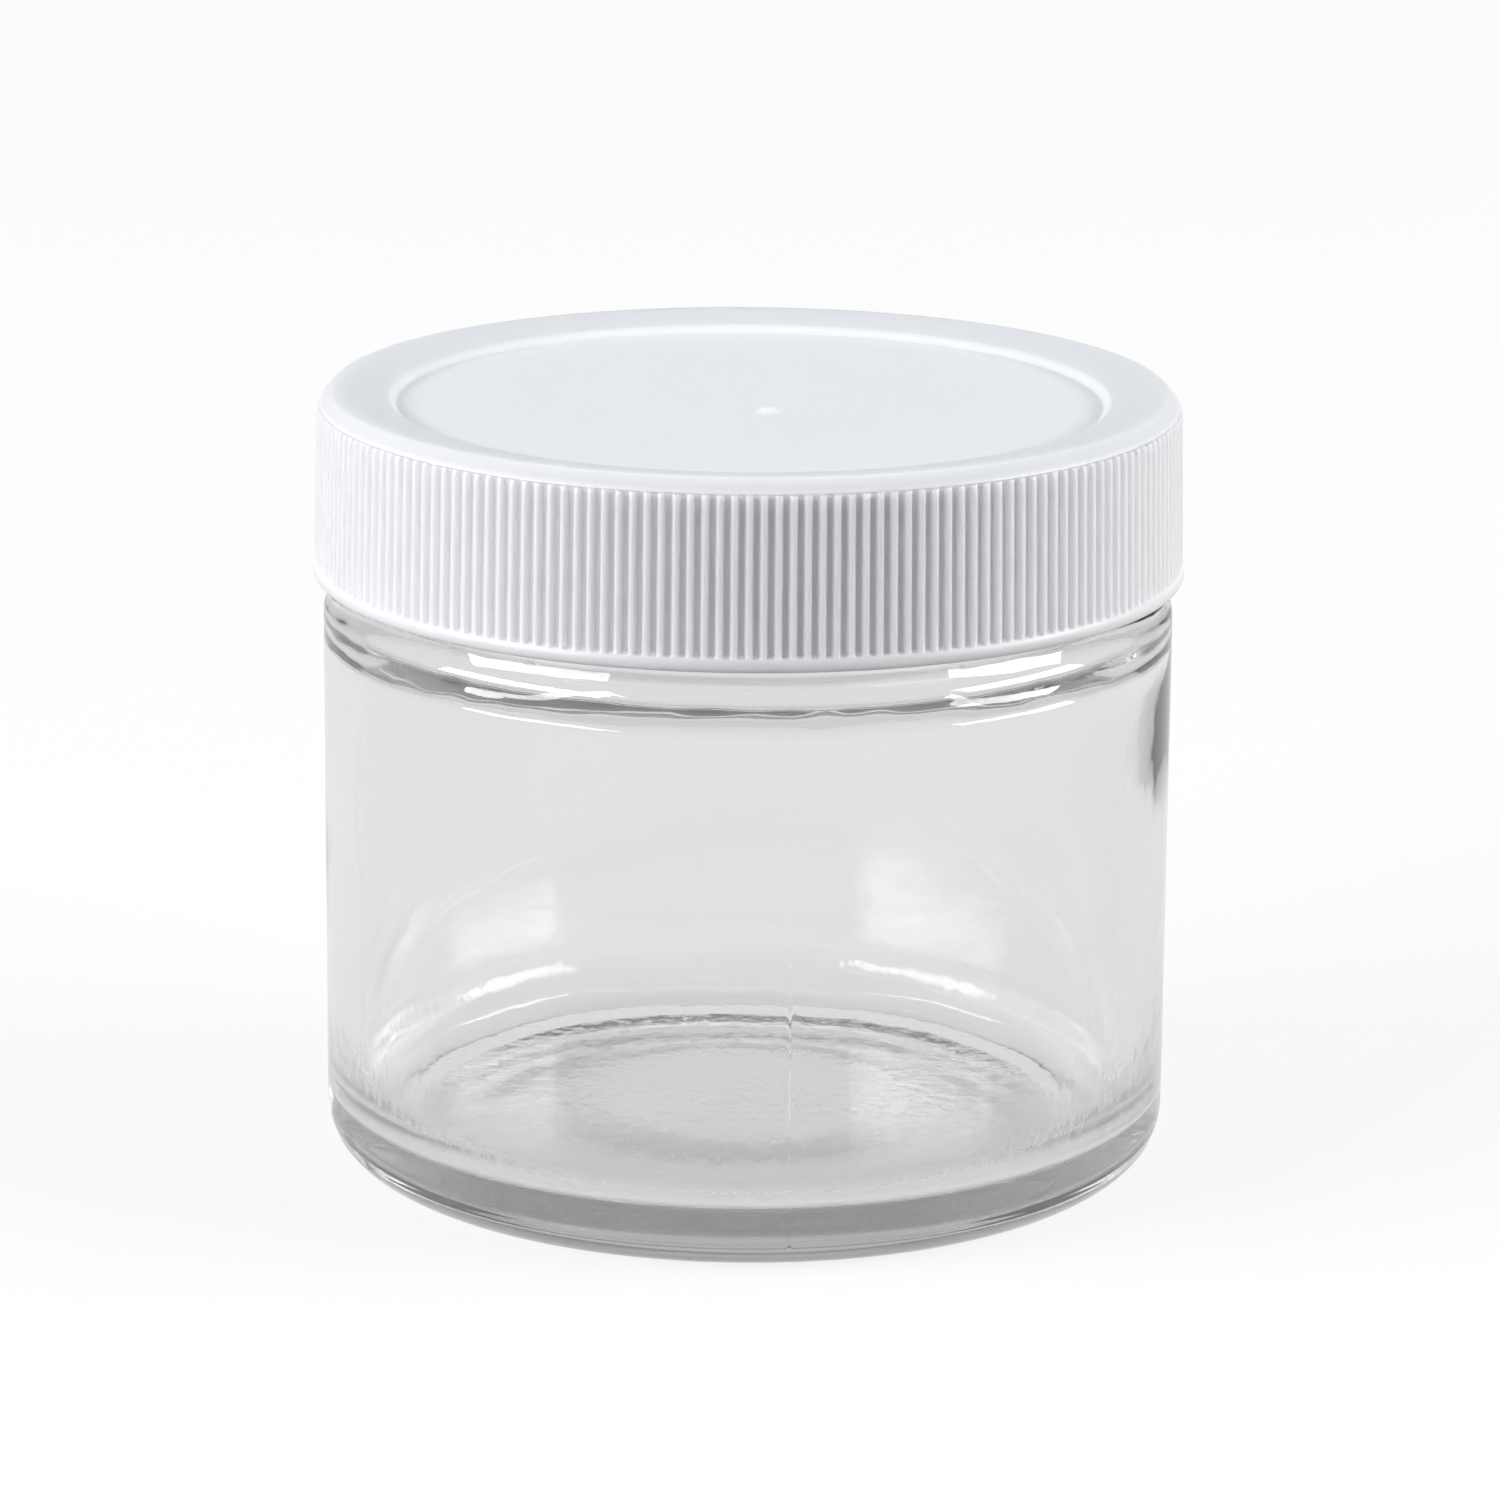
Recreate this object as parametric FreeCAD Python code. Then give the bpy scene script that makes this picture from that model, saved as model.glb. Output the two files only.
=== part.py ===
import FreeCAD, Part
import math
import os

# A straight-sided clear glass jar with a wide mouth and a ribbed white screw cap.
# Millimetres. The origin is on the jar's axis, at the height of the surface it stands on.

# Rounded edges are turned in short steps that stray no further than this from the true arc
round_tolerance = 0.06

# Glass body
body_diameter = 54.4
jar_height = 47.5
wall = 2.5
heel_radius = 3.7
shoulder_radius = 1.6

# Base: a flat ring to stand on, a push-up inside it, and the floor of the jar
standing_ring_width = 2.2
push_up_depth = 0.8
push_up_flat_diameter = 19.0
push_up_radius = 12.0
floor_height = 3.2
floor_corner_radius = 3.5

# Neck and lip
neck_height = 9.9
neck_diameter = 49.7
neck_root_radius = 0.4
mouth_diameter = 44.6
lip_radius = 0.8
inner_shoulder_depth = 3.4
inner_shoulder_height = 4.2
inner_shoulder_lower_radius = 1.2
inner_shoulder_upper_radius = 4.0

# Thread on the neck, and the one inside the cap that runs below it
thread_depth = 1.2
thread_pitch = 25.4 / 6
thread_turns = 1.1
thread_root_width = 2.3
thread_crest_width = 1.0
thread_top_margin = 1.2
cap_thread_root_width = 1.7
cap_thread_crest_width = 0.7
cap_thread_lead = 0.35
thread_fade_turns = 0.08
sections_per_turn = 20
thread_bury = 0.3
thread_sink = 0.05

# Clearances between the glass and the cap
thread_gap = 0.3
flank_gap = 0.1
skirt_gap = 0.9
liner_side_gap = 0.25

# Liner
liner_thickness = 0.8

# Cap skirt
skirt_wall = 0.8
skirt_flare = 0.3
skirt_edge_radius = 0.3
skirt_lead_in = 0.3

# Ribs: narrow grooves round the skirt leave the ribs between them, with a plain band below
groove_count = 195
groove_depth = 0.35
groove_mouth_share = 0.6
groove_root_share = 0.44
plain_band_height = 0.9
plain_band_proud = 0.05
rib_step = 0.15
rib_end_margin = 0.1

# Cap top: a bevel, a raised rim that falls inwards, and a recessed panel with a gate nub
bevel_width = 0.7
bevel_height = 0.85
bevel_edge_radius = 0.25
plate_thickness = 1.0
recess_depth = 1.0
rim_land_width = 0.6
rim_slope_width = 3.1
rim_fall = 0.5
recess_slope_width = 0.5
recess_edge_radius = 0.2
nub_foot_diameter = 1.5
nub_top_diameter = 0.9
nub_height = 0.25

# Sizes worked out from the ones above
body_r = body_diameter / 2
neck_r = neck_diameter / 2
mouth_r = mouth_diameter / 2
inner_r = body_r - wall
thread_r = neck_r + thread_depth
shoulder_z = jar_height - neck_height
standing_ring_r = body_r - heel_radius
push_up_edge_r = standing_ring_r - standing_ring_width

cap_bottom = shoulder_z + skirt_gap
plate_bottom = jar_height + liner_thickness
recess_floor = plate_bottom + plate_thickness
cap_top = recess_floor + recess_depth
cap_height = cap_top - cap_bottom
cap_inner_r = thread_r + thread_gap
cap_thread_r = neck_r + thread_gap
cap_top_r = cap_inner_r + skirt_wall + groove_depth
cap_bottom_r = cap_top_r + skirt_flare
liner_r = cap_inner_r - liner_side_gap

upright = FreeCAD.Vector(0, 0, 1)
centre = FreeCAD.Vector(0, 0, 0)


def in_section(radius, height):
    """A point of a turned outline, in the plane through the axis."""
    return FreeCAD.Vector(radius, 0, height)


def rounded_corner(before, corner, after, rounding):
    """Points along the tangent arc of a rounded corner, close enough to keep round_tolerance."""
    back = (before - corner).normalize()
    ahead = (after - corner).normalize()
    half_angle = back.getAngle(ahead) / 2
    heart = corner + (back + ahead).normalize() * (rounding / math.sin(half_angle))
    start = corner + back * (rounding / math.tan(half_angle)) - heart
    turn = math.pi - 2 * half_angle
    step = 2 * math.acos(1 - min(1, round_tolerance / rounding))
    count = max(1, round(turn / step))
    points = []
    for index in range(count + 1):
        angle = turn * index / count
        swung = start * math.cos(angle) - back * (rounding * math.sin(angle))
        points.append(heart + swung)
    return points


def rounded_outline(corners):
    """A closed wire through corners (radius, height, corner rounding)."""
    places = [in_section(r, z) for r, z, rounding in corners]
    points = []
    for index, place in enumerate(places):
        rounding = corners[index][2]
        if rounding > 0:
            after = places[(index + 1) % len(places)]
            points.extend(rounded_corner(places[index - 1], place, after, rounding))
        else:
            points.append(place)
    return Part.makePolygon(points + points[:1])


def turned(corners):
    """A solid of revolution about the jar's axis."""
    return Part.Face(rounded_outline(corners)).revolve(centre, upright, 360)


def thread_bead(root_r, crest_r, root_width, crest_width, start_z, start_turn, turns):
    """A right-hand helical bead that stands out of a wall and sinks into it at both ends."""
    outwards = 1 if crest_r > root_r else -1
    height = abs(crest_r - root_r)
    sections = []
    count = math.ceil(turns * sections_per_turn)
    for index in range(count + 1):
        along = turns * index / count
        to_end = min(along, turns - along)
        rise = min(1, to_end / thread_fade_turns)
        rise = rise * rise * (3 - 2 * rise)
        buried = root_r - outwards * thread_bury
        crest = root_r - outwards * (thread_sink - (height + thread_sink) * rise)
        angle = 2 * math.pi * (start_turn + along)
        middle_z = start_z + thread_pitch * along
        corners = [
            (buried, -root_width / 2),
            (crest, -crest_width / 2),
            (crest, crest_width / 2),
            (buried, root_width / 2),
        ]
        ring = []
        for r, z in corners:
            ring.append(FreeCAD.Vector(r * math.cos(angle), r * math.sin(angle), middle_z + z))
        ring.append(ring[0])
        sections.append(Part.makePolygon(ring))
    return Part.makeLoft(sections, True, False)


def make_glass_jar():
    inner_shoulder_bottom = shoulder_z - inner_shoulder_depth
    inner_shoulder_top = inner_shoulder_bottom + inner_shoulder_height
    blank = turned([
        (0, push_up_depth, 0),
        (push_up_flat_diameter / 2, push_up_depth, push_up_radius),
        (push_up_edge_r, 0, lip_radius),
        (body_r, 0, heel_radius),
        (body_r, shoulder_z, shoulder_radius),
        (neck_r, shoulder_z, neck_root_radius),
        (neck_r, jar_height, lip_radius),
        (mouth_r, jar_height, lip_radius),
        (mouth_r, inner_shoulder_top, inner_shoulder_upper_radius),
        (inner_r, inner_shoulder_bottom, inner_shoulder_lower_radius),
        (inner_r, floor_height, floor_corner_radius),
        (0, floor_height, 0),
    ])
    thread = thread_bead(neck_r, thread_r, thread_root_width, thread_crest_width,
                         glass_thread_start_z, 0, thread_turns)
    return blank.fuse(thread)


def skirt_r(z):
    """The skirt's outer radius, which flares a little towards its lower edge."""
    return cap_bottom_r - skirt_flare * (z - cap_bottom) / cap_height


def ribbed_ring(z):
    """A closed wire round the skirt at one height: crests, flanks and grooves in turn."""
    crest = skirt_r(z) - plain_band_proud
    root = crest - groove_depth
    pitch = 2 * math.pi / groove_count
    points = []
    for groove in range(groove_count):
        for share, r in (
            (-groove_mouth_share / 2, crest),
            (-groove_root_share / 2, root),
            (groove_root_share / 2, root),
            (groove_mouth_share / 2, crest),
        ):
            angle = (groove + share) * pitch
            points.append(FreeCAD.Vector(r * math.cos(angle), r * math.sin(angle), z))
    return Part.makePolygon(points + points[:1])


def make_screw_cap():
    ribs_bottom = cap_bottom + plain_band_height
    ribs_top = cap_top - bevel_height - rib_end_margin
    crown_r = skirt_r(ribs_top) - plain_band_proud - rib_step
    land_inner_r = crown_r - bevel_width - rim_land_width
    rim_inner_r = land_inner_r - rim_slope_width
    recess_r = rim_inner_r - recess_slope_width
    plain_band = turned([
        (0, cap_bottom, 0),
        (cap_bottom_r, cap_bottom, skirt_edge_radius),
        (skirt_r(ribs_bottom), ribs_bottom, 0),
        (0, ribs_bottom, 0),
    ])
    crown = turned([
        (0, ribs_top, 0),
        (crown_r, ribs_top, 0),
        (crown_r, cap_top - bevel_height, bevel_edge_radius),
        (crown_r - bevel_width, cap_top, bevel_edge_radius),
        (land_inner_r, cap_top, 0),
        (rim_inner_r, cap_top - rim_fall, recess_edge_radius),
        (recess_r, recess_floor, recess_edge_radius),
        (nub_foot_diameter / 2, recess_floor, 0),
        (nub_top_diameter / 2, recess_floor + nub_height, 0),
        (0, recess_floor + nub_height, 0),
    ])
    ribbed_band = Part.makeLoft([ribbed_ring(ribs_bottom), ribbed_ring(ribs_top)], True, True)
    cavity = turned([
        (0, plate_bottom, 0),
        (cap_inner_r, plate_bottom, 0),
        (cap_inner_r, cap_bottom + skirt_lead_in, 0),
        (cap_inner_r + skirt_lead_in, cap_bottom, 0),
        (cap_inner_r + skirt_lead_in, cap_bottom - skirt_lead_in, 0),
        (0, cap_bottom - skirt_lead_in, 0),
    ])
    thread = thread_bead(cap_inner_r, cap_thread_r, cap_thread_root_width, cap_thread_crest_width,
                         cap_thread_start_z, cap_thread_lead, thread_turns)
    return plain_band.fuse([ribbed_band, crown]).cut(cavity.cut(thread))


def make_cap_liner():
    return Part.makeCylinder(liner_r, liner_thickness, FreeCAD.Vector(0, 0, jar_height))


# The glass thread's upper end lies a margin below the lip. The cap's thread runs half a pitch
# lower, raised until its upper flank all but bears on the glass thread's lower flank.
glass_thread_top_z = jar_height - thread_top_margin - thread_root_width / 2
glass_thread_start_z = glass_thread_top_z - thread_pitch * thread_turns
flank_slack = (thread_pitch - thread_root_width - cap_thread_root_width) / 2
cap_thread_drop = thread_pitch / 2 - (flank_slack - flank_gap)
cap_thread_start_z = glass_thread_start_z + thread_pitch * cap_thread_lead - cap_thread_drop

pieces = {
    "glass_jar": make_glass_jar,
    "screw_cap": make_screw_cap,
    "cap_liner": make_cap_liner,
}

os.makedirs("parts", exist_ok=True)
for name, make in pieces.items():
    make().exportStep("parts/" + name + ".step")
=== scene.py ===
import math

import bpy
from mathutils import Matrix, Vector, noise


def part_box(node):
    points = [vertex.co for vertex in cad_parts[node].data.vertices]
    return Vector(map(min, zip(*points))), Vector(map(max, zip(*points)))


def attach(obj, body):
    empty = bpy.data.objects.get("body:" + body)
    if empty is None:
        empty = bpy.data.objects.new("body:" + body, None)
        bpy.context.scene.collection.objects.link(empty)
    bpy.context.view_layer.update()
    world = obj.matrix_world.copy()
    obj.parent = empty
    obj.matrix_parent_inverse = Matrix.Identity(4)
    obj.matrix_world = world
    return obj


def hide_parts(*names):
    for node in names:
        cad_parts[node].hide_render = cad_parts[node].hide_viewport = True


# A clear glass jar with a ribbed white screw cap. Metres, in the frame of the CAD model.
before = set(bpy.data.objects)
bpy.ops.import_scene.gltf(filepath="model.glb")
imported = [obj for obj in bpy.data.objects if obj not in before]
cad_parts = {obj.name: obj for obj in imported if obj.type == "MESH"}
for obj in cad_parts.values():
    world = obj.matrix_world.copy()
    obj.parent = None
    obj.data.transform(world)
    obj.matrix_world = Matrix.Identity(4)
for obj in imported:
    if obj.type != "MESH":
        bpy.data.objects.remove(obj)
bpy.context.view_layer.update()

MM = 0.001

# Camera, solved from the outlines of jar and cap in the photograph
CAMERA_PLACE = Vector((-0.01041, -0.40184, 0.13341))
CAMERA_YAW = 0.02637
CAMERA_DROP = 0.26011
CAMERA_ROLL = 0.00801
CAMERA_LENS = 154.86
CAMERA_SENSOR = 36.0
CAMERA_CLIP = 0.01

# Sizes of the glass, read from the frame where it gives them
jar_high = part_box("glass_jar")[1]
cap_low, cap_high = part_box("screw_cap")
liner_low, liner_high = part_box("cap_liner")
BODY_R = jar_high[0]
LIP_Z = jar_high[2]
SHOULDER_Z = LIP_Z - 9.9 * MM
WALL = 2.5 * MM
INNER_R = BODY_R - WALL
HEEL_R = 3.7 * MM
SHOULDER_R = 1.6 * MM
NECK_R = 24.85 * MM
MOUTH_R = 22.3 * MM
NECK_ROOT_R = 0.4 * MM
LIP_R = 0.8 * MM
FLOOR_Z = 3.2 * MM
FLOOR_CORNER_R = 3.5 * MM
STANDING_R = BODY_R - HEEL_R
STANDING_INNER_R = STANDING_R - 2.2 * MM

# The inside shoulder and the floor's corner are bent more softly than in the CAD model
INNER_SHOULDER_Z = SHOULDER_Z - 3.4 * MM
INNER_SHOULDER_TOP = INNER_SHOULDER_Z + 4.2 * MM
INNER_SHOULDER_LOW = INNER_SHOULDER_Z - 0.4 * MM
INNER_SHOULDER_HIGH = INNER_SHOULDER_TOP + 0.7 * MM
INNER_SHOULDER_LEAN = 0.85
SOFT_CORNER = 4.25 * MM
SOFT_POWER = 2.5

# The push-up: a shallow dome with a dip in its middle
PUSH_UP = 0.8 * MM
DOME_FLAT_R = 12 * MM
DIP_DEPTH = 0.26 * MM
DIP_FLAT_R = 6.5 * MM
DIP_SLOPE = 6 * MM

# How far the blown glass strays from true
WAVE = 0.05 * MM
SHOULDER_WAVE = 0.09 * MM
SHOULDER_RIPPLE = 0.03 * MM
UNDERSIDE_WAVE = 0.09 * MM
THICKER_RIGHT = 0.35 * MM

# Mould seam: two parting lines, opposite each other
SEAM_ANGLE = math.radians(-85.4)
SEAM_HALF_WIDTH = 0.22 * MM
SEAM_HEIGHT = 0.05 * MM

# Threads of neck and cap
PITCH = 25.4 / 6 * MM
THREAD_TURNS = 1.1
THREAD_FADE = 0.08
THREAD_R = 26.05 * MM
THREAD_ROOT = 2.3 * MM
THREAD_CREST = 1.0 * MM
THREAD_START_Z = LIP_Z - 1.2 * MM - THREAD_ROOT / 2 - PITCH * THREAD_TURNS
THREAD_GAP = 0.3 * MM
CAP_THREAD_R = NECK_R + THREAD_GAP
CAP_THREAD_ROOT = 1.7 * MM
CAP_THREAD_CREST = 0.7 * MM
CAP_THREAD_LEAD = 0.35
CAP_THREAD_DROP = (THREAD_ROOT + CAP_THREAD_ROOT) / 2 + 0.1 * MM
CAP_THREAD_START_Z = THREAD_START_Z + PITCH * CAP_THREAD_LEAD - CAP_THREAD_DROP

# Cap
CAP_BOTTOM = cap_low[2]
CAP_TOP = cap_high[2]
CAP_INNER_R = THREAD_R + THREAD_GAP
CAP_WALL = 1.15 * MM
CAP_FLARE = 0.3 * MM
CAP_TOP_R = CAP_INNER_R + CAP_WALL
CAP_BOTTOM_R = CAP_TOP_R + CAP_FLARE
EDGE_R = 0.3 * MM
PLATE_Z = liner_high[2]
RECESS_Z = PLATE_Z + 1.0 * MM
BAND_PROUD = 0.05 * MM
BEVEL_Z = CAP_TOP - 0.85 * MM
BEVEL_EDGE_R = 0.25 * MM
GROOVE_LOW = CAP_BOTTOM + 0.9 * MM
GROOVE_HIGH = BEVEL_Z - 0.1 * MM
RIB_STEP = 0.15 * MM
CROWN_R = (CAP_BOTTOM_R - CAP_FLARE * (GROOVE_HIGH - CAP_BOTTOM) / (CAP_TOP - CAP_BOTTOM)
           - BAND_PROUD - RIB_STEP)
BEVEL_TOP_R = CROWN_R - 0.7 * MM
LAND_R = BEVEL_TOP_R - 0.6 * MM
RIM_R = LAND_R - 3.1 * MM
RIM_Z = CAP_TOP - 0.5 * MM
RECESS_R = RIM_R - 0.5 * MM
RECESS_EDGE_R = 0.2 * MM

# Grooves between the ribs. Steps, root and mouth are shares of one pitch.
GROOVES = 195
GROOVE_DEPTH = 0.35 * MM
GROOVE_STEPS = (0, 0.12, 0.19, 0.235, 0.285, 0.33, 0.5, 0.67, 0.715, 0.765, 0.81, 0.88)
GROOVE_ROOT = 0.19
GROOVE_MOUTH = 0.33
GROOVE_FOOT = 0.16 * MM
RIB_TIP = 0.45 * MM

# Gate mark on the panel
NUB_X = 1.1 * MM
NUB_Y = -2.5 * MM
NUB_FIELD_R = 6 * MM

# Anything closer than this is taken as the same place
NEAR = 1e-6


# Meshes

def arc_points(corner, before, after, rounding, step):
    """Points of the tangent arc that rounds a corner of an outline."""
    back = (before - corner).normalized()
    ahead = (after - corner).normalized()
    half = back.angle(ahead) / 2
    reach = rounding / math.tan(half)
    heart = corner + (back + ahead).normalized() * (rounding / math.sin(half))
    start = corner + back * reach - heart
    turn = math.pi - 2 * half
    side = 1 if start.cross(corner + ahead * reach - heart) > 0 else -1
    count = max(3, math.ceil(rounding * turn / step))
    points = []
    for index in range(count + 1):
        angle = side * turn * index / count
        cosine, sine = math.cos(angle), math.sin(angle)
        swung = Vector((start.x * cosine - start.y * sine, start.x * sine + start.y * cosine))
        points.append(heart + swung)
    return points


def outline(corners, arc_step, run_step):
    """An open outline through corners (radius, height, rounding), with its runs divided."""
    places = [Vector((r, z)) for r, z, rounding in corners]
    points = [places[0]]
    for index in range(1, len(corners)):
        rounding = corners[index][2]
        if rounding > 0 and index + 1 < len(corners):
            piece = arc_points(places[index], places[index - 1], places[index + 1],
                               rounding, arc_step)
        else:
            piece = [places[index]]
        start = points[-1]
        run = piece[0] - start
        count = max(1, math.ceil(run.length / run_step))
        for part in range(1, count):
            points.append(start + run * part / count)
        points.extend(piece)
    return points


def smooth(value):
    """An S-shaped step from 0 to 1."""
    value = min(1.0, max(0.0, value))
    return value * value * (3 - 2 * value)


def thread_height(angle, z, start_z, lead, height, root, crest):
    """How far a helical thread stands out of its wall at an angle and height."""
    turn = (angle / (2 * math.pi) - lead) % 1.0
    best = 0.0
    while turn <= THREAD_TURNS:
        off = abs(z - (start_z + PITCH * turn))
        if off < root / 2:
            flank = smooth((root / 2 - off) / ((root - crest) / 2))
            end = smooth(min(turn, THREAD_TURNS - turn) / THREAD_FADE)
            best = max(best, height * flank * end)
        turn += 1.0
    return best


def ring_angles(count, extra=()):
    """Evenly spaced angles round the axis, with some more where a fine feature needs them."""
    angles = [2 * math.pi * index / count for index in range(count)]
    angles.extend(angle % (2 * math.pi) for angle in extra)
    return sorted(angles)


def ring_at(radius, z, angles, shift=None):
    """A ring of points round the axis; shift(angle) gives what is added to its radius."""
    if radius < NEAR / 10:
        return [(0.0, 0.0, z)]
    ring = []
    for angle in angles:
        r = radius + (shift(angle) if shift else 0.0)
        ring.append((r * math.cos(angle), r * math.sin(angle), z))
    return ring


def bridge(faces, low, high):
    """Faces between two rings of point numbers. One may have a whole multiple of the other's."""
    if len(low) == 1 or len(high) == 1:
        ring = high if len(low) == 1 else low
        pole = low[0] if len(low) == 1 else high[0]
        for index in range(len(ring)):
            first, second = ring[index], ring[(index + 1) % len(ring)]
            faces.append((pole, first, second) if len(high) == 1 else (pole, second, first))
        return
    share = max(len(low), len(high)) // min(len(low), len(high))
    for index in range(min(len(low), len(high))):
        after = (index + 1) % min(len(low), len(high))
        if len(low) == len(high):
            faces.append((low[index], low[after], high[after], high[index]))
        elif len(low) < len(high):
            fan = [high[(index * share + part) % len(high)] for part in range(share + 1)]
            faces.append((low[index], low[after], *reversed(fan)))
        else:
            fan = [low[(index * share + part) % len(low)] for part in range(share + 1)]
            faces.append((*fan, high[after], high[index]))


def lathe(name, rings, material):
    """A closed turned skin. Each ring is a list of points; a single point is a pole."""
    points = []
    faces = []
    numbers = []
    for ring in rings:
        numbers.append(list(range(len(points), len(points) + len(ring))))
        points.extend(ring)
    if len(rings[-1]) > 1:
        numbers.append(numbers[0])
    for low, high in zip(numbers, numbers[1:]):
        if len(low) > 1 or len(high) > 1:
            bridge(faces, low, high)

    mesh = bpy.data.meshes.new(name)
    mesh.from_pydata(points, [], faces)
    mesh.validate()
    mesh.update()
    mesh.materials.append(material)
    mesh.polygons.foreach_set("use_smooth", [True] * len(mesh.polygons))
    thing = bpy.data.objects.new(name, mesh)
    bpy.context.scene.collection.objects.link(thing)
    return thing


# Glass

def seam_height(angle):
    """The low ridge that each parting line of the mould leaves on the glass."""
    away = abs((angle - SEAM_ANGLE + math.pi / 2) % math.pi - math.pi / 2) * BODY_R
    return SEAM_HEIGHT * smooth(1 - away / SEAM_HALF_WIDTH)


def unevenness(angle, r, z, around, along, strength):
    """Gentle waves of blown glass, of a given length round the axis and along it."""
    place = Vector((math.cos(angle) * r / around, math.sin(angle) * r / around, z / along))
    return strength * noise.noise(place)


def inner_wave(angle, z):
    """How far the inside of the wall strays: most at the shoulder and near the floor."""
    at_shoulder = smooth(1 - abs(z - INNER_SHOULDER_Z - 0.6 * MM) / (3.2 * MM))
    at_floor = smooth(1 - (z - FLOOR_Z) / (5 * MM))
    wave = unevenness(angle, INNER_R, z, 10 * MM, 9 * MM, WAVE)
    # The added heights keep the waves from lying on top of each other
    wave += at_shoulder * unevenness(angle, INNER_R, z + 0.1, 9 * MM, 2.6 * MM, SHOULDER_WAVE)
    wave += at_shoulder * unevenness(angle, INNER_R, z + 0.2, 2.4 * MM, 0.9 * MM, SHOULDER_RIPPLE)
    wave += at_floor * unevenness(angle, INNER_R, z + 0.3, 7 * MM, 3 * MM, WAVE)
    lean = -THICKER_RIGHT * math.cos(angle) * smooth((INNER_SHOULDER_Z - z) / (12 * MM))
    return wave * smooth((LIP_Z - 4 * MM - z) / (5 * MM)) + lean


def push_up_points():
    """The underside from the axis to the standing ring: a shallow dome without an edge."""
    count = 36
    points = []
    for index in range(count):
        r = STANDING_INNER_R * index / count
        dome = PUSH_UP * (1 - smooth((r - DOME_FLAT_R) / (STANDING_INNER_R - DOME_FLAT_R)))
        dip = DIP_DEPTH * (1 - smooth((r - DIP_FLAT_R) / DIP_SLOPE))
        points.append(Vector((r, dome - dip)))
    return points


def inner_shoulder_points():
    """The inside from the mouth to the wall in one long S, and straight down to the corner."""
    bend_count, wall_count = 40, 18
    points = []
    for index in range(1, bend_count + 1):
        share = 1 - index / bend_count
        z = INNER_SHOULDER_LOW + (INNER_SHOULDER_HIGH - INNER_SHOULDER_LOW) * share
        bend = smooth(share ** INNER_SHOULDER_LEAN)
        points.append(Vector((INNER_R + (MOUTH_R - INNER_R) * bend, z)))
    top = points[-1].y
    low = FLOOR_Z + SOFT_CORNER
    for index in range(1, wall_count + 1):
        points.append(Vector((INNER_R, top + (low - top) * index / wall_count)))
    return points


def floor_points():
    """The inside from the wall round the corner, in a bend that starts softly, to the axis."""
    bend_count, flat_count = 24, 18
    points = []
    for index in range(1, bend_count + 1):
        angle = math.pi / 2 * index / bend_count
        across = SOFT_CORNER * (1 - math.cos(angle) ** (2 / SOFT_POWER))
        down = SOFT_CORNER * (1 - math.sin(angle) ** (2 / SOFT_POWER))
        points.append(Vector((INNER_R - across, FLOOR_Z + down)))
    edge = INNER_R - SOFT_CORNER
    for index in range(1, flat_count + 1):
        points.append(Vector((edge * (1 - index / flat_count), FLOOR_Z)))
    return points


def glass_outline():
    """The whole section of the glass, divided finely on the neck, where the thread stands out."""
    whole = push_up_points() + outline([
        (STANDING_INNER_R, 0, 0),
        (BODY_R, 0, HEEL_R),
        (BODY_R, SHOULDER_Z, SHOULDER_R),
        (NECK_R, SHOULDER_Z, NECK_ROOT_R),
        (NECK_R, LIP_Z, LIP_R),
        (MOUTH_R, LIP_Z, LIP_R),
        (MOUTH_R, INNER_SHOULDER_HIGH, 0),
    ], 0.25 * MM, 1.2 * MM) + inner_shoulder_points() + floor_points()
    fine = []
    for low, high in zip(whole, whole[1:]):
        fine.append(low)
        if abs(low.x - NECK_R) < NEAR and abs(high.x - NECK_R) < NEAR:
            count = math.ceil((high - low).length / (0.14 * MM))
            fine.extend(low + (high - low) * part / count for part in range(1, count))
    fine.append(whole[-1])
    return fine


def glass_point(angle, r, z, inside):
    """A point of the section turned to an angle, moved by waves, thread and seams."""
    radius, height = r, z
    if inside:
        # The wall strays sideways and the floor up and down, with a smooth change between them
        upright = 1.0
        if z < INNER_SHOULDER_Z:
            upright = smooth((r - INNER_R + FLOOR_CORNER_R) / FLOOR_CORNER_R)
        radius += upright * inner_wave(angle, z)
        height += (1 - upright) * unevenness(angle, r, z, 8 * MM, 8 * MM, WAVE)
    elif abs(r - NECK_R) < NEAR and z < LIP_Z - LIP_R:
        radius += thread_height(angle, z, THREAD_START_Z, 0, THREAD_R - NECK_R,
                                THREAD_ROOT, THREAD_CREST)
    elif r < STANDING_INNER_R and z < PUSH_UP + NEAR:
        fade = smooth((20 * MM - r) / (4 * MM))
        height += fade * unevenness(angle, r, z, 9 * MM, 9 * MM, UNDERSIDE_WAVE)
    elif z > HEEL_R * 0.5 and z < SHOULDER_Z - SHOULDER_R * 0.3:
        radius += seam_height(angle) - SEAM_HEIGHT
    elif z > SHOULDER_Z - SHOULDER_R and z < SHOULDER_Z + 0.1 * MM and r > NECK_R + 0.5 * MM:
        height -= 0.03 * MM + unevenness(angle, r, z, 6 * MM, 3 * MM, WAVE)
    return (radius * math.cos(angle), radius * math.sin(angle), height)


def glass_rings():
    seam_steps = [SEAM_ANGLE + side * SEAM_HALF_WIDTH / BODY_R * part
                  for side in (-1, 1) for part in (1.0, 0.6, 0.25)]
    angles = ring_angles(300, seam_steps + [angle + math.pi for angle in seam_steps])
    inside = False
    rings = []
    for r, z in glass_outline():
        inside = inside or (z > LIP_Z - NEAR and r < (NECK_R + MOUTH_R) / 2)
        if r < NEAR / 10:
            rings.append([(0.0, 0.0, z)])
        else:
            rings.append([glass_point(angle, r, z, inside) for angle in angles])
    return rings


# Cap and liner

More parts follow.
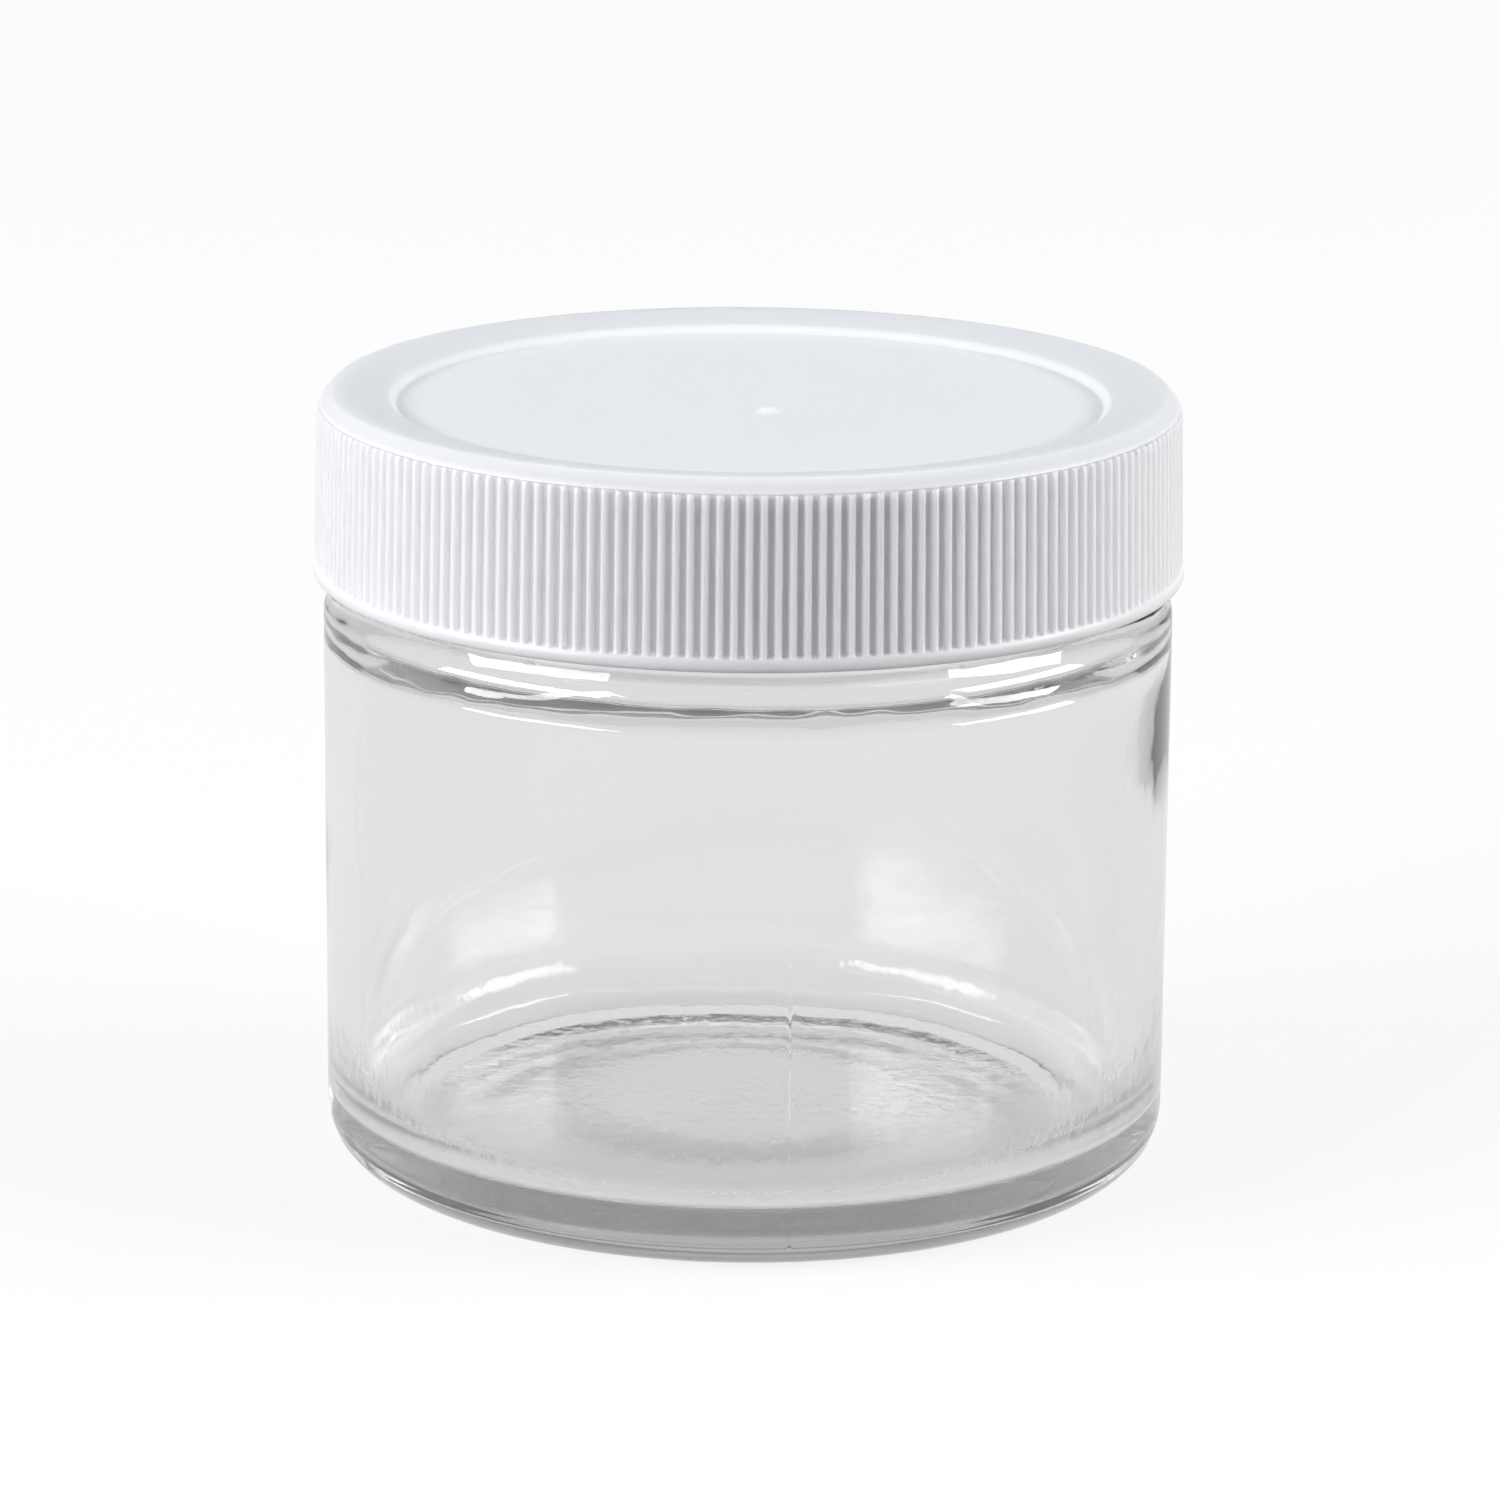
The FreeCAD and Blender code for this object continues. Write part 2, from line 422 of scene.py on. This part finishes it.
def groove_share(phase):
    """How deep a groove is across one rib pitch, from 0 on a crest to 1 at its root."""
    away = abs((phase + 0.5) % 1.0 - 0.5)
    return smooth((GROOVE_MOUTH - away) / (GROOVE_MOUTH - GROOVE_ROOT))


def nub_height(x, y):
    """The gate mark on the panel: a small nub in a shallow dimple, a little off the middle."""
    away = math.hypot(x - NUB_X, y - NUB_Y)
    nub = 0.32 * MM * smooth((1.1 * MM - away) / (0.8 * MM))
    return nub - 0.07 * MM * smooth((2.6 * MM - away) / (1.6 * MM))


def side_r(z):
    """The skirt's outer radius, which flares a little towards its lower edge."""
    return CAP_BOTTOM_R - (CAP_BOTTOM_R - CAP_TOP_R) * (z - CAP_BOTTOM) / (CAP_TOP - CAP_BOTTOM)


def groove_levels():
    """Heights up the ribs, with the groove's depth at each and how far the rib's tip has ended."""
    levels = [(GROOVE_LOW + up, smooth(up / GROOVE_FOOT), 0.0)
              for up in (0.0, 0.05 * MM, 0.1 * MM, GROOVE_FOOT, 0.3 * MM)]
    middle_low, middle_high, count = GROOVE_LOW + 0.3 * MM, GROOVE_HIGH - RIB_TIP, 6
    for part in range(1, count + 1):
        levels.append((middle_low + (middle_high - middle_low) * part / count, 1.0, 0.0))
    for share in (0.8, 0.6, 0.42, 0.28, 0.16, 0.08, 0.03, 0.0):
        rise = 1 - share
        z = GROOVE_HIGH - RIB_TIP * share
        levels.append((z, 1 - rise ** 3, 1 - math.sqrt(1 - rise ** 2)))
    return levels


def cap_rings():
    """The cap from its lower edge over ribs, rim and panel to the inside and its thread."""
    fine_angles = [2 * math.pi * (groove + step) / GROOVES
                   for groove in range(GROOVES) for step in GROOVE_STEPS]
    plain_angles = ring_angles(GROOVES * 2)

    lower = outline([
        (CAP_INNER_R + EDGE_R, CAP_BOTTOM, 0),
        (CAP_BOTTOM_R, CAP_BOTTOM, EDGE_R),
        (side_r(GROOVE_LOW), GROOVE_LOW - 0.06 * MM, 0),
    ], 0.1 * MM, 1 * MM)
    rings = [ring_at(point.x, point.y, plain_angles) for point in lower]

    # The grooves: square at the bottom. At the top the ribs end in round tips, proud of the crown.
    for z, depth, ending in groove_levels():
        radius = side_r(z) - BAND_PROUD * smooth((z - GROOVE_LOW) / GROOVE_FOOT)

        def groove(angle, depth=depth, ending=ending):
            inward = groove_share(angle / (2 * math.pi) * GROOVES)
            return -GROOVE_DEPTH * depth * inward - RIB_STEP * max(ending, (1 - depth) * inward)

        rings.append(ring_at(radius, z, fine_angles, groove))

    upper = outline([
        (CROWN_R, GROOVE_HIGH + 0.03 * MM, 0),
        (CROWN_R, BEVEL_Z, BEVEL_EDGE_R),
        (BEVEL_TOP_R, CAP_TOP, BEVEL_EDGE_R),
        (LAND_R, CAP_TOP, 0),
        (RIM_R, RIM_Z, RECESS_EDGE_R),
        (RECESS_R, RECESS_Z, RECESS_EDGE_R),
        (NUB_FIELD_R, RECESS_Z, 0),
    ], 0.1 * MM, 1.5 * MM)
    count = 40
    upper.extend(Vector((NUB_FIELD_R * (1 - part / count), RECESS_Z))
                 for part in range(1, count + 1))
    for point in upper:
        ring = ring_at(point.x, point.y, plain_angles)
        if point.x < NUB_FIELD_R + 0.1 * MM:
            ring = [(x, y, z + nub_height(x, y)) for x, y, z in ring]
        rings.append(ring)

    # Inside: plate, thread, lead-in
    rings.append([(0.0, 0.0, PLATE_Z)])
    for share in (0.25, 0.5, 0.75, 0.95, 1.0):
        rings.append(ring_at(CAP_INNER_R * share, PLATE_Z, plain_angles))
    count = 48
    for index in range(1, count + 1):
        z = PLATE_Z + (CAP_BOTTOM + EDGE_R - PLATE_Z) * index / count

        def thread(angle, z=z):
            return -thread_height(angle, z, CAP_THREAD_START_Z, CAP_THREAD_LEAD,
                                  CAP_INNER_R - CAP_THREAD_R, CAP_THREAD_ROOT, CAP_THREAD_CREST)

        rings.append(ring_at(CAP_INNER_R, z, plain_angles, thread))
    return rings


def liner_rings():
    """The flat disc inside the cap, with slightly eased edges."""
    radius = liner_high[0]
    low, high = liner_low[2], liner_high[2]
    ease = 0.12 * MM
    turn = ease * 0.3
    section = [
        (0, low), (radius * 0.5, low), (radius - 2 * ease, low), (radius - turn, low + turn),
        (radius, low + ease), (radius, high - ease), (radius - turn, high - turn),
        (radius - 2 * ease, high), (radius * 0.5, high), (0, high),
    ]
    angles = ring_angles(192)
    return [ring_at(r, z, angles) for r, z in section]


# Materials

def material_tree(name):
    """A new material with an empty node tree and its output."""
    material = bpy.data.materials.new(name)
    material.use_nodes = True
    tree = material.node_tree
    tree.nodes.clear()
    return material, tree, node(tree, "OutputMaterial")


def node(tree, kind, inputs=None, **settings):
    """A new node with its settings. Each input takes a value, or a link from another socket."""
    made = tree.nodes.new("ShaderNode" + kind)
    for name, value in settings.items():
        setattr(made, name, value)
    for name, value in (inputs or {}).items():
        if isinstance(value, bpy.types.NodeSocket):
            tree.links.new(value, made.inputs[name])
        else:
            made.inputs[name].default_value = value
    return made


def math_node(tree, operation, first, second):
    return node(tree, "Math", {0: first, 1: second}, operation=operation).outputs[0]


def change(tree, value, low, high, start=0.0, end=1.0):
    """Goes from start to end while value goes from low to high, and stays level beyond them."""
    inputs = {"Value": value, "From Min": low, "From Max": high, "To Min": start, "To Max": end}
    return node(tree, "MapRange", inputs).outputs["Result"]


def mix_colours(tree, share, first, second):
    inputs = {"Factor": share, "A": first, "B": second}
    return node(tree, "Mix", inputs, data_type="RGBA").outputs["Result"]


def noise_at(tree, place, scale, detail):
    inputs = {"Vector": place, "Scale": scale, "Detail": detail}
    return node(tree, "TexNoise", inputs).outputs["Fac"]


def bump_of(tree, height, strength, distance):
    return node(tree, "Bump", {"Height": height, "Strength": strength, "Distance": distance})


def place_in_piece(tree):
    """Sockets for the place in the piece, its parts, and its distance from the axis."""
    place = node(tree, "TexCoord").outputs["Object"]
    parts = node(tree, "SeparateXYZ", {"Vector": place}).outputs
    flat = node(tree, "VectorMath", {0: place, 1: (1, 1, 0)}, operation="MULTIPLY")
    away = node(tree, "VectorMath", {0: flat.outputs["Vector"]}, operation="LENGTH")
    return place, parts, away.outputs["Value"]


def level_by_reach(tree, reach, stops):
    """A value that changes along stops (distance from the axis in body radii, value)."""
    ramp = node(tree, "ValToRGB", {"Fac": reach})
    marks = ramp.color_ramp.elements
    for mark, (position, value) in zip(marks, stops[:2]):
        mark.position, mark.color = position, (value, value, value, 1)
    for position, value in stops[2:]:
        marks.new(position).color = (value, value, value, 1)
    return ramp.outputs["Color"]


def glass_material():
    """Clear flint glass, grey-green where thick, with the orange peel of the mould low down."""
    material, tree, output = material_tree("clear_flint_glass")
    place, parts, away = place_in_piece(tree)
    ripple = bump_of(tree, noise_at(tree, place, 240, 2), 0.05, 0.2 * MM)

    # Underside, floor and corner are less smooth than the walls, and the back less than the front
    reach = math_node(tree, "DIVIDE", away, BODY_R)
    underside = level_by_reach(tree, reach, [(0.25, 0.12), (0.40, 0.28), (0.74, 0.28), (0.85, 0.0)])
    inside = level_by_reach(tree, reach, [(0.35, 0.10), (0.55, 0.19), (0.80, 0.19),
                                          (0.87, 0.30), (0.935, 0.30), (0.95, 0.0)])
    above_base = change(tree, parts["Z"], 1.2 * MM, 2.2 * MM)
    low_down = change(tree, parts["Z"], 11.0 * MM, 5.0 * MM)
    both = mix_colours(tree, above_base, underside, inside)
    stipple = math_node(tree, "MULTIPLY", low_down, both)
    by_depth = change(tree, parts["Y"], -8.0 * MM, 9.0 * MM, 1.1, 0.5)

    height = math_node(tree, "MULTIPLY", noise_at(tree, place, 900, 2), stipple)
    peel = bump_of(tree, height, 1.0, 0.25 * MM)
    tree.links.new(ripple.outputs["Normal"], peel.inputs["Normal"])

    shader = node(tree, "BsdfPrincipled", {
        "Base Color": (0.965, 0.96, 0.96, 1),
        "IOR": 1.52,
        "Transmission Weight": 1.0,
        "Roughness": math_node(tree, "MULTIPLY", stipple, by_depth),
        "Normal": peel.outputs["Normal"],
    })
    tint = node(tree, "VolumeAbsorption", {"Color": (0.5, 0.54, 0.515, 1), "Density": 18})
    tree.links.new(shader.outputs["BSDF"], output.inputs["Surface"])
    tree.links.new(tint.outputs["Volume"], output.inputs["Volume"])
    return material


def cap_material():
    """White moulded polypropylene: satin skirt, a rim turned greyer as painted shade, and a more
    matte panel made paler and bluer as a painted sheen.
    """
    material, tree, output = material_tree("white_moulded_plastic")
    place, parts, away = place_in_piece(tree)
    skirt = mix_colours(tree, noise_at(tree, place, 60, 3),
                        (0.81, 0.812, 0.824, 1), (0.79, 0.793, 0.804, 1))

    # The rim lies outside the panel's radius, and both lie above the plate
    within = change(tree, away, RIM_R, RECESS_R)
    above_plate = change(tree, parts["Z"], PLATE_Z + 0.4 * MM, PLATE_Z + 0.7 * MM)
    at_top = change(tree, parts["Z"], CAP_TOP - 0.8 * MM, CAP_TOP - 0.6 * MM)
    panel = math_node(tree, "MULTIPLY", within, above_plate)
    # Painted shade: the rim gets a darker grey than the rest of the cap, mixed in below
    rim = node(tree, "Math", {0: at_top, 1: within}, operation="SUBTRACT", use_clamp=True)
    # Painted sheen: the panel gets a paler, bluer white than the skirt
    with_panel_sheen = mix_colours(tree, panel, skirt, (0.82, 0.85, 0.862, 1))
    colour = mix_colours(tree, rim.outputs[0], with_panel_sheen, (0.71, 0.73, 0.74, 1))

    grain = bump_of(tree, noise_at(tree, place, 2600, 2), 0.25, 0.04 * MM)
    shader = node(tree, "BsdfPrincipled", {
        "Base Color": colour,
        "Roughness": change(tree, panel, 0.0, 1.0, 0.40, 0.52),
        "IOR": 1.49,
        "Subsurface Weight": 1.0,
        "Subsurface Radius": (1.0, 1.0, 1.0),
        "Subsurface Scale": 1.9 * MM,
        "Normal": grain.outputs["Normal"],
    })
    tree.links.new(shader.outputs["BSDF"], output.inputs["Surface"])
    return material


def liner_material():
    """Matte white foam sheet with fine pores."""
    material, tree, output = material_tree("white_liner_foam")
    place = node(tree, "TexCoord").outputs["Object"]
    pores = node(tree, "TexVoronoi", {"Vector": place, "Scale": 2200}).outputs["Distance"]
    shader = node(tree, "BsdfPrincipled", {
        "Base Color": mix_colours(tree, pores, (0.84, 0.84, 0.82, 1), (0.78, 0.78, 0.76, 1)),
        "Roughness": 0.7,
        "Normal": bump_of(tree, pores, 0.3, 0.05 * MM).outputs["Normal"],
    })
    tree.links.new(shader.outputs["BSDF"], output.inputs["Surface"])
    return material


# Studio

def seen_directly(tree, path):
    """A value that is 1 for what the camera, a mirror or clear glass shows, else 0."""
    seen = math_node(tree, "MAXIMUM", path["Is Camera Ray"], path["Is Glossy Ray"])
    return math_node(tree, "MAXIMUM", seen, path["Is Transmission Ray"])


def floor_material():
    """A pale floor: close to plain white to the eye, with the object's soft shadow kept."""
    material, tree, output = material_tree("pale_floor")
    path = node(tree, "LightPath").outputs
    plain = node(tree, "BsdfDiffuse", {"Color": (0.25, 0.25, 0.25, 1)})
    lit = node(tree, "BsdfDiffuse", {"Color": (0.18, 0.18, 0.18, 1)})

    # Its own light is nearly white to the camera, and a paler grey where glass or gloss shows it
    strength = change(tree, path["Is Camera Ray"], 0.0, 1.0, 0.68, 0.82)
    white = node(tree, "Emission", {"Color": (1, 0.985, 0.99, 1), "Strength": strength})
    seen = node(tree, "AddShader", {0: lit.outputs["BSDF"], 1: white.outputs["Emission"]})
    blend = node(tree, "MixShader", {
        0: seen_directly(tree, path), 1: plain.outputs["BSDF"], 2: seen.outputs["Shader"],
    })
    tree.links.new(blend.outputs["Shader"], output.inputs["Surface"])
    return material


def make_floor():
    half = 3.0
    corners = [(-half, -half, 0), (half, -half, 0), (half, half, 0), (-half, half, 0)]
    mesh = bpy.data.meshes.new("floor")
    mesh.from_pydata(corners, [], [(0, 1, 2, 3)])
    mesh.materials.append(floor_material())
    floor = bpy.data.objects.new("floor", mesh)
    bpy.context.scene.collection.objects.link(floor)


def set_world():
    world = bpy.data.worlds.new("studio")
    bpy.context.scene.world = world
    world.use_nodes = True
    tree = world.node_tree
    tree.nodes.clear()
    output = node(tree, "OutputWorld")
    path = node(tree, "LightPath").outputs

    # Glass and gloss see a bright backdrop low down behind, and a dimmer room above and in front
    place = node(tree, "TexCoord").outputs["Generated"]
    parts = node(tree, "SeparateXYZ", {"Vector": place}).outputs
    above = change(tree, parts["Z"], 0.30, 0.75, 1.0, 0.65)
    behind = change(tree, parts["Y"], -0.5, 0.3, 0.44, 0.72)
    around = math_node(tree, "MULTIPLY", above, behind)
    strength = node(tree, "Mix", {"Factor": path["Is Camera Ray"], "A": around, "B": 1.0})
    white = node(tree, "Background", {
        "Color": (1, 1, 1, 1), "Strength": strength.outputs["Result"],
    })
    room = node(tree, "Background", {"Color": (1, 1, 1, 1), "Strength": 0.01})
    blend = node(tree, "MixShader", {
        0: seen_directly(tree, path), 1: room.outputs["Background"], 2: white.outputs["Background"],
    })
    tree.links.new(blend.outputs["Shader"], output.inputs["Surface"])


def area_light(name, place, width, height, watts, colour):
    """A rectangular lamp that faces the middle of the jar."""
    heart = Vector((0, 0, 0.03))
    data = bpy.data.lights.new(name, "AREA")
    data.shape = "RECTANGLE"
    data.size = width
    data.size_y = height
    data.energy = watts
    data.color = colour
    lamp = bpy.data.objects.new(name, data)
    bpy.context.scene.collection.objects.link(lamp)
    lamp.location = place
    lamp.rotation_euler = (heart - Vector(place)).to_track_quat("-Z", "Y").to_euler()


def set_lights():
    area_light("key_left", (-1.38, -0.60, 0.65), 1.5, 0.45, 33.5, (0.99, 0.955, 1.0))
    area_light("fill_right", (1.49, -0.26, 0.65), 1.2, 0.45, 26.3, (1.0, 0.98, 1.0))
    area_light("overhead", (0.0, 0.20, 1.45), 1.8, 0.9, 8.3, (0.88, 0.98, 1.0))


def set_camera():
    ahead = Vector((math.sin(CAMERA_YAW) * math.cos(CAMERA_DROP),
                    math.cos(CAMERA_YAW) * math.cos(CAMERA_DROP), -math.sin(CAMERA_DROP)))
    right = Vector((math.cos(CAMERA_YAW), -math.sin(CAMERA_YAW), 0))
    up = right.cross(ahead)
    cosine, sine = math.cos(CAMERA_ROLL), math.sin(CAMERA_ROLL)
    right, up = right * cosine + up * sine, up * cosine - right * sine
    data = bpy.data.cameras.new("photo_view")
    data.lens = CAMERA_LENS
    data.sensor_width = CAMERA_SENSOR
    data.clip_start = CAMERA_CLIP
    camera = bpy.data.objects.new("photo_view", data)
    bpy.context.scene.collection.objects.link(camera)
    turn = Matrix((right, up, -ahead)).transposed().to_4x4()
    camera.matrix_world = Matrix.Translation(CAMERA_PLACE) @ turn
    bpy.context.scene.camera = camera


# The pieces
glass = lathe("glass_body", glass_rings(), glass_material())
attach(glass, "jar")
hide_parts("glass_jar")

cap = lathe("cap_shell", cap_rings(), cap_material())
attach(cap, "cap")
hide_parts("screw_cap")

liner = lathe("liner_disc", liner_rings(), liner_material())
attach(liner, "liner")
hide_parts("cap_liner")

# The studio
make_floor()
set_world()
set_lights()
set_camera()
bpy.context.scene.view_settings.view_transform = "Standard"
bpy.context.scene.cycles.max_bounces = 18
bpy.context.scene.cycles.transmission_bounces = 18
bpy.context.scene.cycles.glossy_bounces = 12
